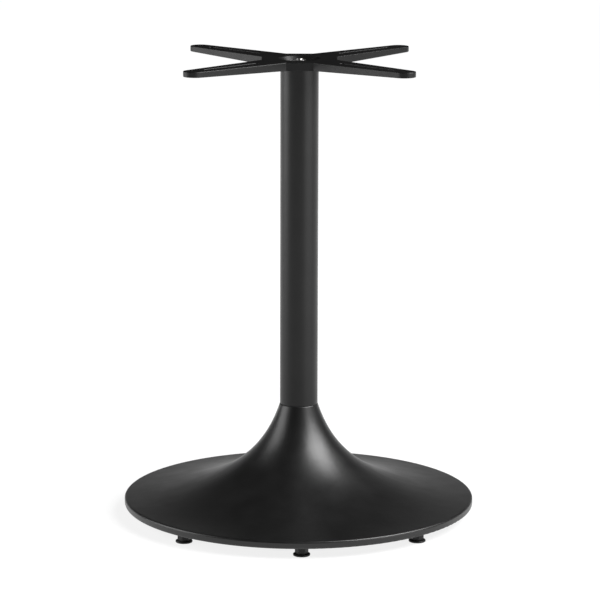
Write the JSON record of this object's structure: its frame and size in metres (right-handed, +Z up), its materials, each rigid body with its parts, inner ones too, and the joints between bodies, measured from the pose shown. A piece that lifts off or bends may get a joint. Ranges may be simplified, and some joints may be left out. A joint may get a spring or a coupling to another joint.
{
  "type": "trumpet table base",
  "caption": "Trumpet-shaped cast table base with a tubular column, a cross-arm spider that carries the table top, a tie rod inside and levelling glides under the rim.",
  "frame": {"origin": "on the floor, on the axis of the column", "axes": "+Z up along the column; the arms of the spider lie at 45 degrees to X and Y"},
  "size_m": [0.5599, 0.56, 0.734],
  "materials": {
    "coated_casting": "satin black powder coat on cast iron",
    "coated_tube": "satin black powder coat on steel tube",
    "zinc_hardware": "bright zinc plate",
    "moulded_foot": "black moulded nylon"
  },
  "bodies": {
    "stand": {"trumpet_base": "coated_casting", "column": "coated_tube", "top_spider": "coated_casting", "tie_rod": "zinc_hardware", "top_washer": "zinc_hardware", "top_nut": "zinc_hardware", "bottom_washer": "zinc_hardware", "bottom_spring_washer": "zinc_hardware", "bottom_nut": "zinc_hardware"},
    "glide_1": {"glide_pad_1": "moulded_foot", "glide_stud_1": "zinc_hardware"},
    "glide_2": {"glide_pad_2": "moulded_foot", "glide_stud_2": "zinc_hardware"},
    "glide_3": {"glide_pad_3": "moulded_foot", "glide_stud_3": "zinc_hardware"},
    "glide_4": {"glide_pad_4": "moulded_foot", "glide_stud_4": "zinc_hardware"},
    "glide_5": {"glide_pad_5": "moulded_foot", "glide_stud_5": "zinc_hardware"},
    "glide_6": {"glide_pad_6": "moulded_foot", "glide_stud_6": "zinc_hardware"},
    "glide_7": {"glide_pad_7": "moulded_foot", "glide_stud_7": "zinc_hardware"},
    "glide_8": {"glide_pad_8": "moulded_foot", "glide_stud_8": "zinc_hardware"}
  },
  "joints": [
    {"name": "glide_1_level", "type": "slide", "parent": "stand", "child": "glide_1", "axis": [0, 0, 1], "range_m": [-0.005, 0.002]},
    {"name": "glide_2_level", "type": "slide", "parent": "stand", "child": "glide_2", "axis": [0, 0, 1], "range_m": [-0.005, 0.002]},
    {"name": "glide_3_level", "type": "slide", "parent": "stand", "child": "glide_3", "axis": [0, 0, 1], "range_m": [-0.005, 0.002]},
    {"name": "glide_4_level", "type": "slide", "parent": "stand", "child": "glide_4", "axis": [0, 0, 1], "range_m": [-0.005, 0.002]},
    {"name": "glide_5_level", "type": "slide", "parent": "stand", "child": "glide_5", "axis": [0, 0, 1], "range_m": [-0.005, 0.002]},
    {"name": "glide_6_level", "type": "slide", "parent": "stand", "child": "glide_6", "axis": [0, 0, 1], "range_m": [-0.005, 0.002]},
    {"name": "glide_7_level", "type": "slide", "parent": "stand", "child": "glide_7", "axis": [0, 0, 1], "range_m": [-0.005, 0.002]},
    {"name": "glide_8_level", "type": "slide", "parent": "stand", "child": "glide_8", "axis": [0, 0, 1], "range_m": [-0.005, 0.002]}
  ]
}
